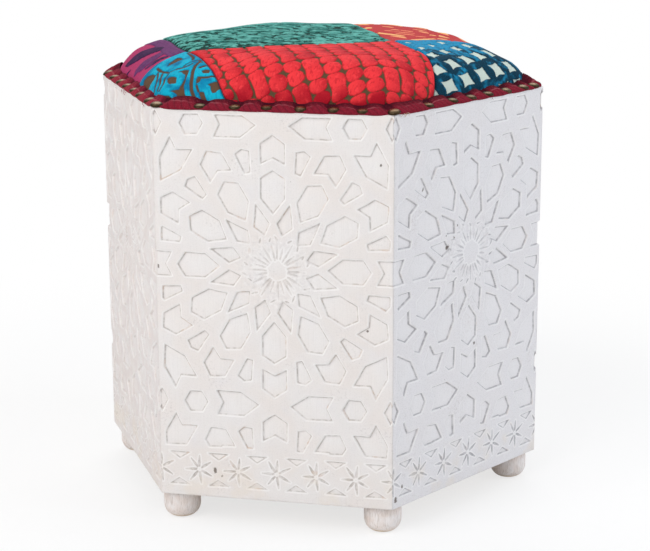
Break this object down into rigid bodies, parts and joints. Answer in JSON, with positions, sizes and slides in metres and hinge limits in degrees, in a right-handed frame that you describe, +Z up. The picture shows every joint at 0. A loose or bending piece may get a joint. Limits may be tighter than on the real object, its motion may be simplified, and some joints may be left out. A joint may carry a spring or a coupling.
{
  "type": "carved hexagonal kursi stool",
  "caption": "Hexagonal stool with carved star panels on its sides, a crowned patchwork cushion nailed down under a braid, and turned bun feet.",
  "frame": {"origin": "on the floor under the middle of the stool", "axes": "+Z up; the first side panel faces -Y, and two corners of the hexagon lie on the X axis"},
  "size_m": [0.4498, 0.3898, 0.4489],
  "materials": {
    "carved_wood": "whitewashed and lightly worn carved hardwood",
    "foot_wood": "whitewashed turned hardwood",
    "frame_wood": "plain sawn hardwood",
    "plywood": "plain plywood",
    "foam": "open upholstery foam",
    "purple_velvet": "striped cut velvet",
    "cyan_velvet": "cut velvet with a squiggle pile on an olive brown ground",
    "teal_velvet": "cut velvet with wavy dark streaks",
    "red_velvet": "cut velvet with a cobbled pile on an olive brown ground",
    "orange_velvet": "cut velvet with small yellow flecks",
    "blue_velvet": "cut velvet with cream interlocked rings",
    "braid": "woven maroon braid",
    "nails": "antique brass, domed and dulled"
  },
  "bodies": {
    "root": {"side_panel_1": "carved_wood", "side_panel_2": "carved_wood", "side_panel_3": "carved_wood", "side_panel_4": "carved_wood", "side_panel_5": "carved_wood", "side_panel_6": "carved_wood", "corner_post_1": "frame_wood", "corner_post_2": "frame_wood", "corner_post_3": "frame_wood", "corner_post_4": "frame_wood", "corner_post_5": "frame_wood", "corner_post_6": "frame_wood", "foot_1": "foot_wood", "foot_2": "foot_wood", "foot_3": "foot_wood", "foot_4": "foot_wood", "foot_5": "foot_wood", "foot_6": "foot_wood", "base_board": "plywood", "seat_board": "plywood", "foam_pad": "foam", "cover_patch_red": "red_velvet", "cover_patch_cyan": "cyan_velvet", "cover_patch_purple": "purple_velvet", "cover_patch_teal": "teal_velvet", "cover_patch_orange": "orange_velvet", "cover_patch_blue": "blue_velvet", "edge_braid": "braid"}
  },
  "joints": []
}
